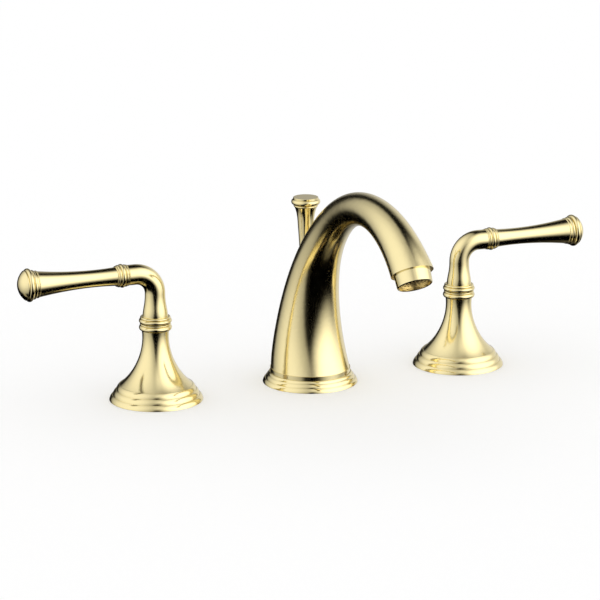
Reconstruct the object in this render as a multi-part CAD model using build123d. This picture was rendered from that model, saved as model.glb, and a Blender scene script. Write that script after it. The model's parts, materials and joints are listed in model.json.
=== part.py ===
from build123d import *
import math
import os

# Widespread lavatory faucet: two quarter-turn lever valves, an arched spout and a lift rod.
# Millimetres. Origin: the spout's axis on the deck plane. +X is the user's right, -Y points
# to the user, +Z is up. The deck plane is Z = 0 and the deck lies below it.

# Spread, deck and thread allowances
handle_spread = 203.2
deck_thickness = 30.0
gasket_thickness = 2.0
running_clearance = 0.05
joint_gap = 0.3
rim_gap = 0.15
roll_middle = 0.27

# Handle escutcheon: three rings, a bell and the lower bead
foot_radius = 28.6
foot_ring_height = 3.15
foot_ring_count = 3
foot_ring_draw = 2.15
foot_ring_lean = 1.85
bell_foot_radius = 22.15
bell_points = [(16.1, 15.6), (12.2, 22.0), (9.5, 29.0)]
bell_throat_radius = 8.35
bell_throat_height = 43.4
bead_radius = 10.0
bead_height = 3.3
bead_line_radius = 9.0
small_ring_radius = 9.45
small_ring_height = 1.1
bell_wall = 1.8
bell_foot_wall = 2.3
bell_shelf_inset = 0.2
gasket_recess_radius = 25.3
collar_thread_radius = 8.0
collar_bottom = 20.5
collar_top = 27.5
throat_bore_radius = 6.9

# Handle: hub, neck, bend and lever
hub_ring_radius = 9.25
hub_ring_height = 1.4
hub_bead_height = 2.6
neck_foot_radius = 7.7
neck_points = [(7.3, 56.0), (6.6, 60.0), (6.25, 63.6)]
tube_radius = 6.2
bend_radius = 12.5
lever_height = 79.1
elbow_reach = 17.4
spigot_radius = 5.9
spigot_bottom = 38.5
grip_spigot_radius = 3.5
grip_spigot_length = 10.0

# Lever grip, as distances from the handle's axis
collar_centre = 21.3
collar_bead_radius = 7.2
collar_bead_width = 2.6
collar_ring_radius = 6.75
collar_ring_width = 1.7
collar_fillet_radius = 6.2
collar_fillet_width = 0.8
grip_start_radius = 5.65
grip_points = [(5.2, 40.0), (5.6, 52.0), (6.3, 61.0)]
grip_end_radius = 7.9
grip_end = 74.1
tip_groove_width = 0.7
tip_line_radius = 8.3
tip_line_width = 0.9
tip_ring_radius = 8.85
tip_ring_width = 2.4
cap_spigot_radius = 5.0
cap_spigot_length = 5.0

# End cap: bead, rim and dome
cap_bead_radius = 10.05
cap_bead_width = 3.0
cap_rim_radius = 8.95
cap_rim_width = 1.05
cap_dome_height = 3.9

# Valve: shank, cartridge and nuts
shank_radius = 13.0
shank_bottom = -60.0
barrel_radius = 12.0
barrel_step = 7.0
barrel_top = 15.0
socket_radius = 9.5
socket_floor = -6.0
seal_thickness = 2.0
disc_radius = 8.3
disc_thickness = 3.0
disc_port_radius = 2.1
disc_port_offset = 4.6
cartridge_wall = 0.7
cartridge_top_thickness = 2.0
stem_radius = 4.0
stem_flange_thickness = 2.5
stem_top = 58.0
spline_count = 16
spline_depth = 0.35
spline_length = 14.0
stem_flat_depth = 0.8
stem_flat_length = 7.0
drive_key_width = 3.0
drive_key_length = 12.0
drive_key_depth = 1.2
bonnet_hex_flats = 20.0
bonnet_hex_height = 4.5
o_ring_section = 1.8
o_ring_height = 11.0
block_radius = 15.0
block_height = 20.0
inlet_radius = 10.48
inlet_length = 18.0
outlet_radius = 8.33
outlet_reach = 30.0
outlet_shoulder_radius = 9.8
outlet_thread_length = 14.0
outlet_wall = 2.2
inlet_wall = 2.5
top_nut_radius = 19.0
top_nut_height = 4.0
top_nut_slot_width = 4.0
top_nut_slot_depth = 1.5
set_screw_radius = 2.0
set_screw_height = 55.0
set_screw_socket_flats = 2.0
set_screw_socket_depth = 1.6

# Deck clamps under each piece
clamp_radius = 20.0
rubber_thickness = 2.5
washer_thickness = 1.5
mounting_nut_flats = 36.0
mounting_nut_height = 9.0

# Spout: base ring
base_roll_radii = [29.5, 27.8, 26.3]
base_roll_tops = [2.55, 4.85, 6.45]
base_roll_lean = 1.4
base_seat = 5.3
base_recess_radius = 27.3

# Spout: centre line of two arcs, and the radius at stations along it
spout_start_y = 1.06
spout_start_z = 7.5
lean_back_angle = 10.5
rise_radius = 102.9
rise_turn_angle = 72.8
crown_radius = 83.6
crown_turn_angle = 69.6
body_foot_radius = 24.9
skirt_top = 9.2
skirt_step = 0.45
first_station_radius = 22.5
station_radii = [20.2, 16.1, 12.85, 10.85, 10.0, 10.0, 10.85, 12.25]
spout_flare_past_end = 0.55
spout_trim_length = 7.7
spout_wall = 2.4
cavity_end_angle = 112.0

# Spout: outlet and aerator
outlet_overrun = 2.75
outlet_turn_angle = 15.2
aerator_radius = 10.65
aerator_taper = 0.3
aerator_drop = 7.6
aerator_thread_radius = 8.5
aerator_thread_length = 7.0
aerator_chamber_depth = 8.5
aerator_bore_radius = 7.2
aerator_mouth_radius = 9.3
aerator_mouth_depth = 5.0
insert_recess = 2.0
insert_hole_radius = 0.75
insert_ring_radii = [2.3, 4.5, 6.7]
insert_ring_holes = [6, 12, 18]
aerator_washer_thickness = 1.2

# Waterway and tee
tube_outer_radius = 5.0
tube_inner_radius = 3.7
tube_y = -5.5
tube_end_angle = 121.0
tube_seat_angle = 105.0
channel_start_overlap = 2.0
channel_end_angle = 130.0
channel_radius = 3.6
tee_top = -66.0
tee_socket_depth = 12.0
tee_radius = 9.5
tee_body_length = 24.0
tee_axis_z = -86.0
tee_reach = 28.0

# Spout shank and head
head_radius = 21.0
head_height = 6.0
spout_shank_radius = 14.0
spout_shank_bottom = -62.0
spout_shank_bore = 11.8

# Lift rod and knob
rod_radius = 2.38
rod_y = 7.2
rod_bottom = -115.0
rod_hole_radius = 2.9
guide_radius = 3.8
guide_flange_radius = 4.6
guide_flange_height = 1.5
guide_drop = 2.0
knob_bottom = 83.5
knob_points = [(4.15, 87.0), (4.9, 98.0), (5.85, 105.8)]
knob_foot_radius = 3.95
knob_lip_radius = 7.0
knob_lip_height = 109.3
knob_ring_radius = 7.5
knob_ring_top = 110.7
knob_bead_radius = 8.95
knob_bead_top = 114.2
knob_top_radius = 7.8
knob_top = 115.3
knob_socket_depth = 14.0

handle_x = handle_spread / 2
deck_bottom = -deck_thickness


def lathe(start, *moves):
    """A solid turned about Z from (radius, height) points. A tuple of numbers is a straight
    move, a pair of points is an arc through the first of them, and a list is a smooth curve."""

    def at(point):
        return Vector(point[0], 0, point[1])

    here = start
    edges = []
    for move in moves:
        if isinstance(move, list):
            edges.append(Spline(at(here), *[at(point) for point in move]))
            here = move[-1]
        elif isinstance(move[0], tuple):
            edges.append(ThreePointArc(at(here), at(move[0]), at(move[1])))
            here = move[1]
        else:
            edges.append(Line(at(here), at(move)))
            here = move
    edges.append(Line(at(here), at(start)))
    return revolve(Face(Wire(edges)), Axis.Z)


def roll(widest, top_radius, bottom, top):
    """The lathe move up the rounded side of a ring that is widest at its bottom."""
    return ((widest - roll_middle * (widest - top_radius), (bottom + top) / 2), (top_radius, top))


def ring(outer, inner, bottom, top):
    """A plain ring about Z."""
    return lathe((inner, bottom), (outer, bottom), (outer, top), (inner, top))


def rod(radius, bottom, top):
    """A plain cylinder about Z."""
    return Pos(0, 0, (bottom + top) / 2) * Cylinder(radius, top - bottom)


def hexagon(flats, bottom, top):
    """A hexagonal prism about Z."""
    return Pos(0, 0, bottom) * extrude(RegularPolygon(flats / 2, 6, major_radius=False), top - bottom)


def along_x(solid):
    """Turns a solid made about Z so that its +Z points along +X."""
    return solid.rotate(Axis.Y, 90)


# Handle pieces, made with the handle's axis on Z and the lever along +X


def make_escutcheon():
    moves = []
    for index in range(foot_ring_count):
        widest = foot_radius - index * foot_ring_draw
        bottom = index * foot_ring_height
        if index:
            moves.append((widest, bottom))
        moves.append(roll(widest, widest - foot_ring_lean, bottom, bottom + foot_ring_height))
    foot_top = foot_ring_count * foot_ring_height
    moves.append((bell_foot_radius, foot_top))
    moves.append(bell_points + [(bell_throat_radius, bell_throat_height)])
    bead_top = bell_throat_height + bead_height
    ring_top = bead_top + small_ring_height
    moves.append(((bead_radius, bell_throat_height + bead_height * 0.6), (bead_line_radius, bead_top)))
    moves.append(((small_ring_radius, (bead_top + ring_top) / 2), (bead_line_radius, ring_top)))
    moves.append((throat_bore_radius, ring_top))
    moves.append((throat_bore_radius, collar_top))
    moves.append((collar_thread_radius, collar_top))
    moves.append((collar_thread_radius, collar_bottom))
    (waist_radius, waist_height), (shelf_radius, _) = bell_points[:2]
    moves.append((shelf_radius - bell_shelf_inset, collar_bottom))
    moves.append([(waist_radius - bell_wall, waist_height), (bell_foot_radius - bell_foot_wall, foot_top)])
    moves.append((gasket_recess_radius, gasket_thickness + 1.0))
    moves.append((gasket_recess_radius, 0))
    return lathe((foot_radius, 0), *moves)


bell_top = bell_throat_height + bead_height + small_ring_height
hub_bottom = bell_top + joint_gap
hub_bead_top = hub_bottom + hub_bead_height
hub_top = hub_bead_top + hub_ring_height
bend_start = lever_height - bend_radius
stem_bore_radius = stem_radius + running_clearance


def make_handle_elbow():
    hub = lathe(
        (stem_bore_radius, spigot_bottom),
        (spigot_radius, spigot_bottom),
        (spigot_radius, hub_bottom),
        (bead_line_radius, hub_bottom),
        ((bead_radius, hub_bottom + hub_bead_height * 0.5), (bead_line_radius, hub_bead_top)),
        ((hub_ring_radius, hub_bead_top + hub_ring_height * 0.4), (neck_foot_radius + 0.9, hub_top)),
        (neck_foot_radius, hub_top),
        neck_points + [(tube_radius, bend_start)],
        (0, bend_start),
        (0, stem_top + joint_gap),
        (stem_bore_radius, stem_top + joint_gap),
    )
    profile = Plane.XY.offset(bend_start) * Circle(tube_radius)
    turn_axis = Axis((bend_radius, 0, bend_start), (0, 1, 0))
    bend = revolve(profile, turn_axis, 90)
    reach = along_x(rod(tube_radius, bend_radius, elbow_reach))
    spigot = along_x(rod(grip_spigot_radius, elbow_reach, elbow_reach + grip_spigot_length))
    arm = Pos(0, 0, lever_height) * (reach + spigot)
    body = hub + bend + arm
    screw_hole = rod(set_screw_radius, 0, 2 * neck_foot_radius).rotate(Axis.X, -90)
    return body - Pos(0, 0, set_screw_height) * screw_hole


def make_set_screw():
    inner = stem_radius - stem_flat_depth
    outer = neck_foot_radius - 0.7
    screw = rod(set_screw_radius, inner, outer)
    socket = hexagon(set_screw_socket_flats, outer - set_screw_socket_depth, outer)
    return Pos(0, 0, set_screw_height) * (screw - socket).rotate(Axis.X, -90)


def make_lever_grip():
    half_bead = collar_bead_width / 2
    ring_end = half_bead + collar_ring_width
    fillet_end = ring_end + collar_fillet_width
    left = collar_centre - fillet_end
    right = collar_centre + fillet_end
    tip_line_end = grip_end + tip_line_width
    tip_ring_start = tip_line_end + tip_groove_width
    tip_end = tip_ring_start + tip_ring_width
    bore_end = elbow_reach + grip_spigot_length + rim_gap
    grip = lathe(
        (grip_spigot_radius, left),
        (tube_radius, left),
        ((collar_fillet_radius + 0.3, left + collar_fillet_width / 2),
         (tube_radius, collar_centre - ring_end)),
        ((collar_ring_radius, collar_centre - half_bead - collar_ring_width / 2),
         (tube_radius, collar_centre - half_bead)),
        ((collar_bead_radius, collar_centre), (tube_radius, collar_centre + half_bead)),
        ((collar_ring_radius, collar_centre + half_bead + collar_ring_width / 2),
         (tube_radius - 0.1, collar_centre + ring_end)),
        ((collar_fillet_radius + 0.1, right - collar_fillet_width / 2), (grip_start_radius, right)),
        grip_points + [(grip_end_radius, grip_end)],
        ((tip_line_radius, grip_end + tip_line_width / 2), (grip_end_radius, tip_line_end)),
        (grip_end_radius, tip_ring_start),
        ((tip_ring_radius, tip_ring_start + tip_ring_width / 2), (grip_end_radius, tip_end)),
        (cap_spigot_radius, tip_end),
        (cap_spigot_radius, tip_end - cap_spigot_length - rim_gap),
        (0, tip_end - cap_spigot_length - rim_gap),
        (0, bore_end),
        (grip_spigot_radius, bore_end),
    )
    return Pos(0, 0, lever_height) * along_x(grip)


cap_start = grip_end + tip_line_width + tip_groove_width + tip_ring_width


def make_end_cap():
    bead_end = cap_start + cap_bead_width
    rim_end = bead_end + cap_rim_width
    dome_foot = cap_rim_radius - 0.25
    dome_radius = (dome_foot**2 + cap_dome_height**2) / (2 * cap_dome_height)
    dome_centre = rim_end + cap_dome_height - dome_radius
    half_turn = math.asin(dome_foot / dome_radius) / 2
    dome_middle = (dome_radius * math.sin(half_turn), dome_centre + dome_radius * math.cos(half_turn))
    cap = lathe(
        (0, cap_start - cap_spigot_length),
        (cap_spigot_radius, cap_start - cap_spigot_length),
        (cap_spigot_radius, cap_start),
        (grip_end_radius, cap_start),
        ((cap_bead_radius, cap_start + cap_bead_width / 2), (cap_rim_radius - 0.3, bead_end)),
        ((cap_rim_radius, bead_end + cap_rim_width * 0.4), (dome_foot, rim_end)),
        (dome_middle, (0, rim_end + cap_dome_height)),
    )
    return Pos(0, 0, lever_height) * along_x(cap)


seal_top = socket_floor + seal_thickness
fixed_disc_top = seal_top + disc_thickness
moving_disc_bottom = fixed_disc_top + running_clearance
moving_disc_top = moving_disc_bottom + disc_thickness
stem_flange_top = moving_disc_top + stem_flange_thickness
cartridge_inner_top = stem_flange_top + joint_gap
cartridge_top = cartridge_inner_top + cartridge_top_thickness
stem_hole_radius = stem_radius + running_clearance
cartridge_radius = socket_radius - rim_gap
hex_bottom = barrel_top
hex_top = hex_bottom + bonnet_hex_height


def make_valve_stem():
    shaft = rod(stem_radius, stem_flange_top, stem_top)
    flange = rod(disc_radius - joint_gap, moving_disc_top, stem_flange_top)
    groove_bottom = stem_top - spline_length
    groove = Pos(stem_radius, 0, (groove_bottom + stem_top) / 2) * Box(
        2 * spline_depth, 2 * spline_depth, spline_length
    )
    grooves = [groove.rotate(Axis.Z, index * 360 / spline_count) for index in range(spline_count)]
    flat = Pos(0, 2 * stem_radius - stem_flat_depth, set_screw_height) * Box(
        2 * stem_radius, 2 * stem_radius, stem_flat_length
    )
    key = Pos(0, 0, moving_disc_top - drive_key_depth / 2) * Box(
        drive_key_width, drive_key_length, drive_key_depth
    )
    return (shaft + flange + key) - grooves - flat


def make_moving_disc():
    disc = rod(disc_radius, moving_disc_bottom, moving_disc_top)
    bridge = Pos(0, 0, moving_disc_bottom + disc_thickness / 4) * Box(
        2 * disc_port_radius, 2 * (disc_port_offset + disc_port_radius), disc_thickness / 2
    )
    key_slot = Pos(0, 0, moving_disc_top - drive_key_depth / 2) * Box(
        drive_key_width, drive_key_length, drive_key_depth
    )
    return disc - bridge - key_slot


def port_pair(bottom, top):
    """The inlet and outlet ports, side by side along X."""
    port = rod(disc_port_radius, bottom, top)
    return [Pos(side * disc_port_offset, 0, 0) * port for side in (-1, 1)]


def make_fixed_disc():
    return rod(disc_radius + joint_gap / 2, seal_top, fixed_disc_top) - port_pair(seal_top, fixed_disc_top)


def make_disc_seal():
    return rod(disc_radius + joint_gap / 2, socket_floor, seal_top) - port_pair(socket_floor, seal_top)


def make_cartridge_body():
    return lathe(
        (cartridge_radius - cartridge_wall, seal_top),
        (cartridge_radius, seal_top),
        (cartridge_radius, cartridge_top),
        (stem_hole_radius, cartridge_top),
        (stem_hole_radius, cartridge_inner_top),
        (cartridge_radius - cartridge_wall, cartridge_inner_top),
    )


def make_bonnet_nut():
    hexagonal = hexagon(bonnet_hex_flats, hex_bottom, hex_top)
    thread = rod(socket_radius, cartridge_top, hex_bottom)
    sleeve = rod(collar_thread_radius, hex_top, collar_top)
    groove_radius = stem_hole_radius + o_ring_section
    groove = rod(groove_radius, o_ring_height - o_ring_section / 2, o_ring_height + o_ring_section / 2)
    bore = rod(stem_hole_radius, cartridge_top, collar_top)
    return hexagonal + thread + sleeve - groove - bore


def make_stem_o_ring():
    centre = stem_hole_radius + o_ring_section / 2
    return Pos(0, 0, o_ring_height) * Torus(centre, o_ring_section / 2)


def make_handle_bushing():
    return ring(throat_bore_radius, spigot_radius + running_clearance, spigot_bottom - 0.5, bell_top - 0.2)


block_bottom = shank_bottom - block_height
inlet_bottom = block_bottom - inlet_length


def make_valve_body():
    shank = rod(shank_radius, shank_bottom, barrel_step)
    barrel = rod(barrel_radius, barrel_step, barrel_top)
    block = rod(block_radius, block_bottom, shank_bottom)
    inlet = rod(inlet_radius, inlet_bottom, block_bottom)
    outlet_z = (block_bottom + shank_bottom) / 2
    outlet = Pos(0, 0, outlet_z) * along_x(rod(outlet_radius, -outlet_reach, 0))
    shoulder = Pos(0, 0, outlet_z) * along_x(
        rod(outlet_shoulder_radius, outlet_thread_length - outlet_reach, 0)
    )
    body = shank + barrel + block + inlet + shoulder + outlet
    socket = rod(socket_radius, socket_floor, barrel_top)
    feed = Pos(disc_port_offset, 0, 0) * rod(disc_port_radius, inlet_bottom, socket_floor)
    inlet_mouth = rod(inlet_radius - inlet_wall, inlet_bottom, block_bottom)
    drain = Pos(-disc_port_offset, 0, 0) * rod(disc_port_radius, outlet_z, socket_floor)
    outlet_mouth = Pos(0, 0, outlet_z) * along_x(
        rod(outlet_radius - outlet_wall, -outlet_reach, -disc_port_offset)
    )
    return body - socket - feed - inlet_mouth - drain - outlet_mouth


def make_top_nut():
    nut = ring(top_nut_radius, shank_radius, gasket_thickness, gasket_thickness + top_nut_height)
    slot = Pos(top_nut_radius, 0, gasket_thickness + top_nut_height) * Box(
        top_nut_radius - shank_radius, top_nut_slot_width, 2 * top_nut_slot_depth
    )
    return nut - [slot.rotate(Axis.Z, quarter * 90) for quarter in range(4)]


def make_deck_gasket():
    return ring(gasket_recess_radius - rim_gap, shank_radius + rim_gap, 0, gasket_thickness)


# Deck clamp: the same three pieces hold each valve and the spout


def make_rubber_washer(radius):
    return ring(clamp_radius, radius + rim_gap, deck_bottom - rubber_thickness, deck_bottom)


clamp_washer_top = deck_bottom - rubber_thickness
clamp_washer_bottom = clamp_washer_top - washer_thickness


def make_deck_washer(radius):
    return ring(clamp_radius, radius + rim_gap, clamp_washer_bottom, clamp_washer_top)


def make_mounting_nut(radius):
    nut = hexagon(mounting_nut_flats, clamp_washer_bottom - mounting_nut_height, clamp_washer_bottom)
    return nut - rod(radius, clamp_washer_bottom - mounting_nut_height, clamp_washer_bottom)


# Spout


rise_length = rise_radius * math.radians(rise_turn_angle)
spout_length = rise_length + crown_radius * math.radians(crown_turn_angle)


def spout_point(length):
    """The centre line's (y, z, heading) at a length from its start. The heading is in
    radians from straight up, leaning to the user."""
    start = -math.radians(lean_back_angle)
    first = start + min(length, rise_length) / rise_radius
    y = spout_start_y - rise_radius * (math.cos(start) - math.cos(first))
    z = spout_start_z + rise_radius * (math.sin(first) - math.sin(start))
    if length <= rise_length:
        return y, z, first
    heading = first + (length - rise_length) / crown_radius
    y = y - crown_radius * (math.cos(first) - math.cos(heading))
    z = z + crown_radius * (math.sin(heading) - math.sin(first))
    return y, z, heading


def across(y, z, heading):
    """The plane square to the centre line at a point."""
    return Plane(origin=(0, y, z), x_dir=(1, 0, 0), z_dir=(0, -math.sin(heading), math.cos(heading)))


def crown_centre():
    """The centre of the second arc, as (y, z)."""
    y, z, heading = spout_point(rise_length)
    return y - crown_radius * math.cos(heading), z - crown_radius * math.sin(heading)


def spout_skin(inset):
    """The spout's skin, moved in by inset, from the skirt's top to past its mouth."""
    foot = Plane(origin=(0, 0, skirt_top), x_dir=(1, 0, 0), z_dir=(0, 0, 1))
    sections = [foot * Circle(body_foot_radius - skirt_step - inset)]
    step = spout_length / len(station_radii)
    lengths = [step / 2] + [step * (index + 1) for index in range(len(station_radii))]
    for length, radius in zip(lengths, [first_station_radius] + station_radii):
        sections.append(across(*spout_point(length)) * Circle(radius - inset))
    past_end = across(*spout_point(spout_length + spout_trim_length))
    sections.append(past_end * Circle(station_radii[-1] + spout_flare_past_end - inset))
    return loft(sections)


def outlet_plane():
    """The plane of the spout's mouth, its Z pointing out of the mouth."""
    y, z, _ = spout_point(spout_length + outlet_overrun)
    _, _, heading = spout_point(spout_length)
    return across(y, z, heading + math.radians(outlet_turn_angle))


def crown_plane(angle):
    """The plane square to the second arc at a heading in degrees."""
    centre_y, centre_z = crown_centre()
    heading = math.radians(angle)
    y = centre_y + crown_radius * math.cos(heading)
    z = centre_z + crown_radius * math.sin(heading)
    return across(y, z, heading)


def crown_bend(radius, from_angle, to_angle):
    """A round bar along the second arc between two headings in degrees."""
    centre_y, centre_z = crown_centre()
    axis = Axis((0, centre_y, centre_z), (1, 0, 0))
    return revolve(crown_plane(from_angle) * Circle(radius), axis, to_angle - from_angle)


base_top = base_roll_tops[-1]
base_bore_radius = head_radius + joint_gap
pocket_radius = body_foot_radius + rim_gap
head_bottom = gasket_thickness
head_top = head_bottom + head_height


def make_spout_body():
    mouth = outlet_plane()
    block = 2 * spout_length
    beyond = mouth * Pos(0, 0, spout_trim_length * 2) * Box(block, block / 8, spout_trim_length * 4)
    outer = spout_skin(0) + rod(body_foot_radius, base_seat, skirt_top) - beyond
    solid_end = crown_plane(cavity_end_angle) * Pos(0, 0, block / 2) * Box(block, block, block)
    cavity = spout_skin(spout_wall) - solid_end
    foot_thread = rod(head_radius, base_seat, skirt_top)
    chamber = mouth * Pos(0, 0, -aerator_chamber_depth / 2) * Cylinder(
        aerator_thread_radius, aerator_chamber_depth
    )
    seat = crown_bend(tube_outer_radius, tube_seat_angle, tube_end_angle)
    channel = crown_bend(channel_radius, tube_end_angle - channel_start_overlap, channel_end_angle)
    rod_hole = Pos(0, rod_y, 0) * rod(rod_hole_radius, head_top, knob_bottom + knob_socket_depth)
    return outer - cavity - foot_thread - chamber - seat - channel - rod_hole


def make_spout_base_ring():
    moves = []
    bottom = 0.0
    for widest, top in zip(base_roll_radii, base_roll_tops):
        if bottom:
            moves.append((widest, bottom))
        moves.append(roll(widest, max(widest - base_roll_lean, pocket_radius + joint_gap), bottom, top))
        bottom = top
    moves.append((pocket_radius, base_top))
    moves.append((pocket_radius, base_seat))
    moves.append((base_bore_radius, base_seat))
    moves.append((base_bore_radius, gasket_thickness))
    moves.append((base_recess_radius, gasket_thickness))
    moves.append((base_recess_radius, 0))
    return lathe((base_roll_radii[0], 0), *moves)


def make_spout_shank():
    head = rod(head_radius, head_bottom, head_top)
    shank = ring(spout_shank_radius, spout_shank_bore, spout_shank_bottom, head_bottom)
    tube_hole = Pos(0, tube_y, 0) * rod(tube_outer_radius, head_bottom, head_top)
    guide_hole = Pos(0, rod_y, 0) * rod(guide_radius, head_bottom, head_top)
    return head + shank - tube_hole - guide_hole


def make_rod_guide():
    sleeve = rod(guide_radius, head_bottom - guide_drop, head_top)
    flange = rod(guide_flange_radius, head_top, head_top + guide_flange_height)
    bore = rod(rod_radius + running_clearance, head_bottom - guide_drop, head_top + guide_flange_height)
    return Pos(0, rod_y, 0) * (sleeve + flange - bore)


def make_spout_gasket():
    return ring(base_recess_radius - rim_gap, spout_shank_radius + rim_gap, 0, gasket_thickness)


def rise_bend_radius():
    """The radius of the tube's first bend, which meets the second arc in line with it."""
    _, _, heading = spout_point(rise_length)
    centre_y, _ = crown_centre()
    return (tube_y - centre_y - crown_radius * math.cos(heading)) / (1 - math.cos(heading))


def make_waterway_tube():
    _, _, heading = spout_point(rise_length)
    _, centre_z = crown_centre()
    first_radius = rise_bend_radius()
    bend_z = centre_z + (crown_radius - first_radius) * math.sin(heading)
    bottom = tee_top - tee_socket_depth
    bend_axis = Axis((0, tube_y - first_radius, bend_z), (1, 0, 0))
    turn = math.degrees(heading)

    def bar(radius):
        straight = Pos(0, tube_y, 0) * rod(radius, bottom, bend_z)
        first = revolve(across(tube_y, bend_z, 0) * Circle(radius), bend_axis, turn)
        return straight + first + crown_bend(radius, turn, tube_end_angle)

    return bar(tube_outer_radius) - bar(tube_inner_radius)


def make_supply_tee():
    place = Pos(0, tube_y, tee_axis_z)
    socket = Pos(0, tube_y, 0) * rod(tee_radius, tee_axis_z, tee_top)
    body = place * along_x(rod(tee_radius, -tee_body_length / 2, tee_body_length / 2))
    arms = place * along_x(rod(outlet_radius, -tee_reach, tee_reach))
    tube_hole = Pos(0, tube_y, 0) * rod(tube_outer_radius, tee_top - tee_socket_depth, tee_top)
    down = Pos(0, tube_y, 0) * rod(tube_inner_radius, tee_axis_z, tee_top)
    through = place * along_x(rod(outlet_radius - outlet_wall, -tee_reach, tee_reach))
    return socket + body + arms - tube_hole - down - through


def make_aerator_housing():
    housing = lathe(
        (aerator_bore_radius, -aerator_thread_length),
        (aerator_thread_radius, -aerator_thread_length),
        (aerator_thread_radius, 0),
        (aerator_radius, 0),
        (aerator_radius - aerator_taper, aerator_drop - 0.4),
        (aerator_radius - aerator_taper - 0.4, aerator_drop),
        (aerator_mouth_radius + 0.25, aerator_drop),
        (aerator_mouth_radius, aerator_drop - 0.25),
        (aerator_mouth_radius, aerator_drop - aerator_mouth_depth),
        (aerator_bore_radius, aerator_drop - aerator_mouth_depth),
    )
    return outlet_plane() * housing


def make_aerator_insert():
    top = aerator_drop - aerator_mouth_depth
    bottom = aerator_drop - insert_recess
    insert = rod(aerator_mouth_radius - rim_gap, top, bottom)
    hole = rod(insert_hole_radius, top, bottom)
    holes = [hole]
    for radius, count in zip(insert_ring_radii, insert_ring_holes):
        for index in range(count):
            holes.append((Pos(radius, 0, 0) * hole).rotate(Axis.Z, index * 360 / count))
    return outlet_plane() * (insert - holes)


def make_aerator_washer():
    washer = ring(aerator_thread_radius - rim_gap, tube_outer_radius,
                  -aerator_thread_length - aerator_washer_thickness, -aerator_thread_length)
    return outlet_plane() * washer


def make_lift_knob():
    knob = lathe(
        (rod_radius, knob_bottom),
        (knob_foot_radius, knob_bottom),
        knob_points + [(knob_lip_radius, knob_lip_height)],
        ((knob_ring_radius, (knob_lip_height + knob_ring_top) / 2), (knob_lip_radius, knob_ring_top)),
        ((knob_bead_radius, (knob_ring_top + knob_bead_top) / 2), (knob_top_radius, knob_bead_top)),
        (knob_top_radius, knob_top - 0.2),
        (knob_top_radius - 0.2, knob_top),
        (0, knob_top),
        (0, knob_bottom + knob_socket_depth),
        (rod_radius, knob_bottom + knob_socket_depth),
    )
    return Pos(0, rod_y, 0) * knob


def make_lift_rod():
    return Pos(0, rod_y, 0) * rod(rod_radius, rod_bottom, knob_bottom + knob_socket_depth - rim_gap)


# Writing: the handle pieces once for each side, mirrored, then the spout's own pieces

handle_pieces = {
    "escutcheon": make_escutcheon(),
    "handle_elbow": make_handle_elbow(),
    "lever_grip": make_lever_grip(),
    "end_cap": make_end_cap(),
    "set_screw": make_set_screw(),
    "handle_bushing": make_handle_bushing(),
    "valve_stem": make_valve_stem(),
    "moving_disc": make_moving_disc(),
    "fixed_disc": make_fixed_disc(),
    "disc_seal": make_disc_seal(),
    "cartridge_body": make_cartridge_body(),
    "stem_o_ring": make_stem_o_ring(),
    "bonnet_nut": make_bonnet_nut(),
    "valve_body": make_valve_body(),
    "top_nut": make_top_nut(),
    "deck_gasket": make_deck_gasket(),
    "rubber_washer": make_rubber_washer(shank_radius),
    "deck_washer": make_deck_washer(shank_radius),
    "mounting_nut": make_mounting_nut(shank_radius),
}
spout_pieces = {
    "spout_body": make_spout_body(),
    "spout_base_ring": make_spout_base_ring(),
    "spout_shank": make_spout_shank(),
    "rod_guide": make_rod_guide(),
    "spout_gasket": make_spout_gasket(),
    "spout_rubber_washer": make_rubber_washer(spout_shank_radius),
    "spout_deck_washer": make_deck_washer(spout_shank_radius),
    "spout_mounting_nut": make_mounting_nut(spout_shank_radius),
    "waterway_tube": make_waterway_tube(),
    "supply_tee": make_supply_tee(),
    "aerator_housing": make_aerator_housing(),
    "aerator_insert": make_aerator_insert(),
    "aerator_washer": make_aerator_washer(),
    "lift_knob": make_lift_knob(),
    "lift_rod": make_lift_rod(),
}

os.makedirs("parts", exist_ok=True)
for name, piece in handle_pieces.items():
    export_step(Pos(handle_x, 0, 0) * piece, f"parts/cold_{name}.step")
    export_step(Pos(-handle_x, 0, 0) * mirror(piece, Plane.YZ), f"parts/hot_{name}.step")
for name, piece in spout_pieces.items():
    export_step(piece, f"parts/{name}.step")
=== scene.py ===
import json
import math

import bpy
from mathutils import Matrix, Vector

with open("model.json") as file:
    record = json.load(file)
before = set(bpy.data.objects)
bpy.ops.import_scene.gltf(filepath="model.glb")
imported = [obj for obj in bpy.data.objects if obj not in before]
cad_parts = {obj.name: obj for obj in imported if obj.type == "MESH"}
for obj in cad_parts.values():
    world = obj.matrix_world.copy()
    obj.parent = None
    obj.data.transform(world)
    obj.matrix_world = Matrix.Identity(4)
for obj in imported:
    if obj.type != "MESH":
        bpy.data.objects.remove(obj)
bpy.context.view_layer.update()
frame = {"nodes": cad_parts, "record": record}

# Widespread basin faucet in pale brass: looks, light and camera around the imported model.
# Metres. Origin: the spout's axis on the deck. -Y points to the user and +Z is up.

# Camera, at the photograph's viewing angle: degrees, metres and millimetres of lens
VIEW_AZIMUTH = -22.65
VIEW_ELEVATION = 14.84
VIEW_DISTANCE = 1.85
VIEW_AIM = Vector((-0.00091, 0.01422, 0.04821))
LENS = 178.57
SENSOR = 36.0
CLIP_START = 0.1
CLIP_END = 50.0

# Floor: wide enough to fill every view, and a hair below the deck plane that the rings stand on
FLOOR_SIZE = 6.0
FLOOR_Z = -0.0001
FLOOR_ROUGHNESS = 0.9

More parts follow.
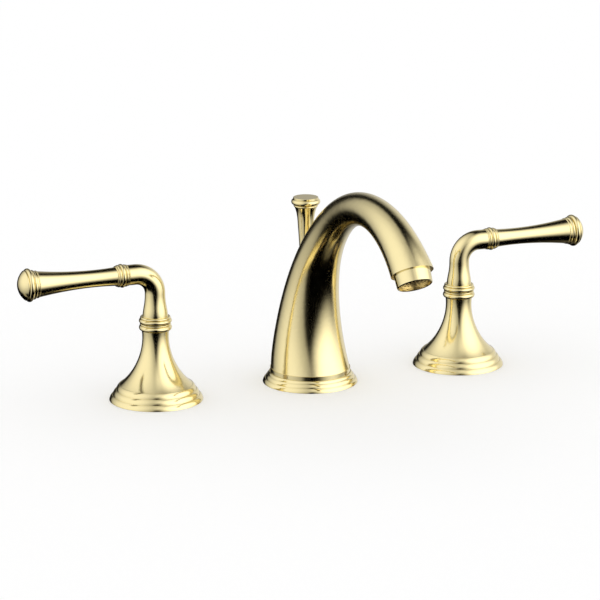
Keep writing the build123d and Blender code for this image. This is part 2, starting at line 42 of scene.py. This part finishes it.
# The soft lights that the metal sees. Each is a disc with a soft edge: azimuth and elevation of
# its middle, inner radius and width of the edge in degrees, then strength and colour.
WHITE = (1, 1, 1)
WARM = (1, 0.92, 0.75)
SOFT_LIGHTS = [
    (45, 26, 1, 62, 1.8, WHITE),
    (-97, 29, 62, 12, 0.45, WHITE),
    (-97, 29, 2, 66, 0.68, WHITE),
    (123, -2, 1, 54, 0.82, WHITE),
    (-115, -44, 1, 10, 0.35, WARM),
    (155, -80, 12, 8, 0.1, WARM),
]

# The slow drift of colour. A noise's scale counts its cells in a metre, and the ends are where
# between the noise's 0 and 1 the dark tone stops and the light tone starts.
DRIFT_DETAIL = 3.0
METAL_DRIFT_SCALE = 38.0
METAL_DRIFT_ENDS = (0.3, 0.7)
MATT_DRIFT_ENDS = (0.35, 0.65)

# The fine grain of the metals, with the depth of its relief at strength 1
GRAIN_DETAIL = 4.0
GRAIN_ROUGHNESS = 0.6
RELIEF_DEPTH = 0.00005

# Finishes, by the record's material slot
BRASS_LIGHT = (0.90, 0.775, 0.425, 1)
BRASS_DARK = (0.87, 0.745, 0.40, 1)

METALS = {
    "satin_brass": {
        "light": BRASS_LIGHT,
        "dark": BRASS_DARK,
        "roughness": 0.17,
        "spread": 0.02,
        "grain_scale": 900.0,
        "relief": 0.04,
    },
    "polished_brass": {
        "light": BRASS_LIGHT,
        "dark": BRASS_DARK,
        "roughness": 0.12,
        "spread": 0.02,
        "grain_scale": 900.0,
        "relief": 0.0,
    },
    "raw_brass": {
        "light": (0.80, 0.65, 0.36, 1),
        "dark": (0.70, 0.55, 0.29, 1),
        "roughness": 0.28,
        "spread": 0.05,
        "grain_scale": 700.0,
        "relief": 0.06,
    },
    "zinc_steel": {
        "light": (0.66, 0.67, 0.68, 1),
        "dark": (0.55, 0.56, 0.58, 1),
        "roughness": 0.30,
        "spread": 0.05,
        "grain_scale": 700.0,
        "relief": 0.1,
    },
}
MATT_SURFACES = {
    "black_rubber": {
        "light": (0.030, 0.030, 0.031, 1),
        "dark": (0.018, 0.018, 0.019, 1),
        "roughness": 0.75,
        "drift_scale": 300.0,
    },
    "white_nylon": {
        "light": (0.86, 0.85, 0.80, 1),
        "dark": (0.80, 0.79, 0.74, 1),
        "roughness": 0.45,
        "drift_scale": 150.0,
    },
    "white_ceramic": {
        "light": (0.92, 0.91, 0.88, 1),
        "dark": (0.88, 0.87, 0.84, 1),
        "roughness": 0.15,
        "drift_scale": 150.0,
    },
}


# Materials


def node_material(name):
    """An empty node material, its node tree and its shader."""
    material = bpy.data.materials.new(name)
    material.use_nodes = True
    return material, material.node_tree, material.node_tree.nodes["Principled BSDF"]


def add(tree, kind, **inputs):
    """A node with its inputs set by name."""
    made = tree.nodes.new(kind)
    for key, value in inputs.items():
        made.inputs[key.replace("_", " ")].default_value = value
    return made


def add_noise(tree, place, **inputs):
    """A noise fixed to the piece, as its output from 0 to 1."""
    noise = add(tree, "ShaderNodeTexNoise", **inputs)
    tree.links.new(place.outputs["Object"], noise.inputs["Vector"])
    return noise.outputs["Fac"]


def colour_drift(tree, shader, place, scale, ends, light, dark):
    """Lets the base colour drift between two tones over the surface."""
    ramp = tree.nodes.new("ShaderNodeValToRGB")
    for stop, position, tone in zip(ramp.color_ramp.elements, ends, (dark, light)):
        stop.position = position
        stop.color = tone
    tree.links.new(add_noise(tree, place, Scale=scale, Detail=DRIFT_DETAIL), ramp.inputs["Fac"])
    tree.links.new(ramp.outputs["Color"], shader.inputs["Base Color"])


def metal(name, light, dark, roughness, spread, grain_scale, relief):
    """A metal whose colour and gloss drift a little, with a fine grain in relief or none."""
    material, tree, shader = node_material(name)
    shader.inputs["Metallic"].default_value = 1.0
    place = tree.nodes.new("ShaderNodeTexCoord")
    colour_drift(tree, shader, place, METAL_DRIFT_SCALE, METAL_DRIFT_ENDS, light, dark)
    grain = add_noise(tree, place, Scale=grain_scale, Detail=GRAIN_DETAIL, Roughness=GRAIN_ROUGHNESS)
    gloss = add(tree, "ShaderNodeMapRange", To_Min=roughness - spread, To_Max=roughness + spread)
    tree.links.new(grain, gloss.inputs["Value"])
    tree.links.new(gloss.outputs["Result"], shader.inputs["Roughness"])
    if relief:
        bump = add(tree, "ShaderNodeBump", Strength=relief, Distance=RELIEF_DEPTH)
        tree.links.new(grain, bump.inputs["Height"])
        tree.links.new(bump.outputs["Normal"], shader.inputs["Normal"])
    return material


def matt(name, light, dark, roughness, drift_scale):
    """A moulded or lapped surface with a faint mottle."""
    material, tree, shader = node_material(name)
    shader.inputs["Roughness"].default_value = roughness
    place = tree.nodes.new("ShaderNodeTexCoord")
    colour_drift(tree, shader, place, drift_scale, MATT_DRIFT_ENDS, light, dark)
    return material


finishes = {name: metal(name, **look) for name, look in METALS.items()}
finishes.update({name: matt(name, **look) for name, look in MATT_SURFACES.items()})
slot_of = {part["node"]: part["material_slot"] for part in frame["record"]["subparts"]}
for node, item in frame["nodes"].items():
    item.data.materials.clear()
    item.data.materials.append(finishes[slot_of[node]])


# Stage: a white floor, and a world that is plain white for the eye and for matt surfaces.
# The metal sees it as a photographer's tent: a few large soft lights with dark between them.


def direction(azimuth, elevation):
    """The unit vector at an azimuth from the user's side, positive to the right, in degrees."""
    azimuth, elevation = math.radians(azimuth), math.radians(elevation)
    level = math.cos(elevation)
    return Vector((math.sin(azimuth) * level, -math.cos(azimuth) * level, math.sin(elevation)))


def add_floor():
    """A matt white plane. The metal doesn't mirror it: in the photograph its undersides are dark."""
    bpy.ops.mesh.primitive_plane_add(size=FLOOR_SIZE, location=(0, 0, FLOOR_Z))
    floor = bpy.context.object
    floor.name = "floor"
    floor.visible_glossy = False
    material, _, shader = node_material("floor")
    shader.inputs["Base Color"].default_value = (*WHITE, 1)
    shader.inputs["Roughness"].default_value = FLOOR_ROUGHNESS
    shader.inputs["Specular IOR Level"].default_value = 0.0
    floor.data.materials.append(material)


def add_soft_light(tree, towards, before, azimuth, elevation, inner, soft_edge, strength, colour):
    """Adds one disc of light to the light before it, and gives the sum."""
    facing = tree.nodes.new("ShaderNodeVectorMath")
    facing.operation = "DOT_PRODUCT"
    facing.inputs[1].default_value = direction(azimuth, elevation)
    tree.links.new(towards, facing.inputs[0])
    disc = tree.nodes.new("ShaderNodeMapRange")
    disc.interpolation_type = "SMOOTHSTEP"
    disc.inputs["From Min"].default_value = math.cos(math.radians(inner + soft_edge))
    disc.inputs["From Max"].default_value = math.cos(math.radians(inner))
    disc.inputs["To Max"].default_value = strength
    tree.links.new(facing.outputs["Value"], disc.inputs["Value"])
    glow = tree.nodes.new("ShaderNodeVectorMath")
    glow.operation = "MULTIPLY_ADD"
    glow.inputs[1].default_value = colour
    tree.links.new(disc.outputs["Result"], glow.inputs[0])
    if before is not None:
        tree.links.new(before, glow.inputs[2])
    return glow.outputs["Vector"]


def add_world():
    """White of strength 1 for the eye and for matt surfaces, the soft lights for gloss."""
    world = bpy.data.worlds.new("studio")
    bpy.context.scene.world = world
    world.use_nodes = True
    # Any other sampling asks for the world's light without saying that the ray is glossy
    world.cycles.sampling_method = "NONE"
    tree = world.node_tree
    background = tree.nodes["Background"]
    background.inputs["Strength"].default_value = 1.0
    towards = tree.nodes.new("ShaderNodeTexCoord").outputs["Generated"]
    light = None
    for values in SOFT_LIGHTS:
        light = add_soft_light(tree, towards, light, *values)
    seen_by = tree.nodes.new("ShaderNodeLightPath")
    choice = tree.nodes.new("ShaderNodeMix")
    choice.data_type = "RGBA"
    choice.inputs["A"].default_value = (*WHITE, 1)
    tree.links.new(seen_by.outputs["Is Glossy Ray"], choice.inputs["Factor"])
    tree.links.new(light, choice.inputs["B"])
    tree.links.new(choice.outputs["Result"], background.inputs["Color"])


def add_camera():
    """The upright camera, with the aim at the middle of the photograph's frame."""
    back = direction(VIEW_AZIMUTH, VIEW_ELEVATION)
    camera = bpy.data.objects.new("camera", bpy.data.cameras.new("camera"))
    bpy.context.scene.collection.objects.link(camera)
    camera.data.lens = LENS
    camera.data.sensor_width = SENSOR
    camera.data.clip_start = CLIP_START
    camera.data.clip_end = CLIP_END
    camera.location = VIEW_AIM + back * VIEW_DISTANCE
    camera.rotation_mode = "QUATERNION"
    camera.rotation_quaternion = (-back).to_track_quat("-Z", "Y")
    bpy.context.scene.camera = camera


add_floor()
add_world()
add_camera()
bpy.context.scene.view_settings.view_transform = "Standard"
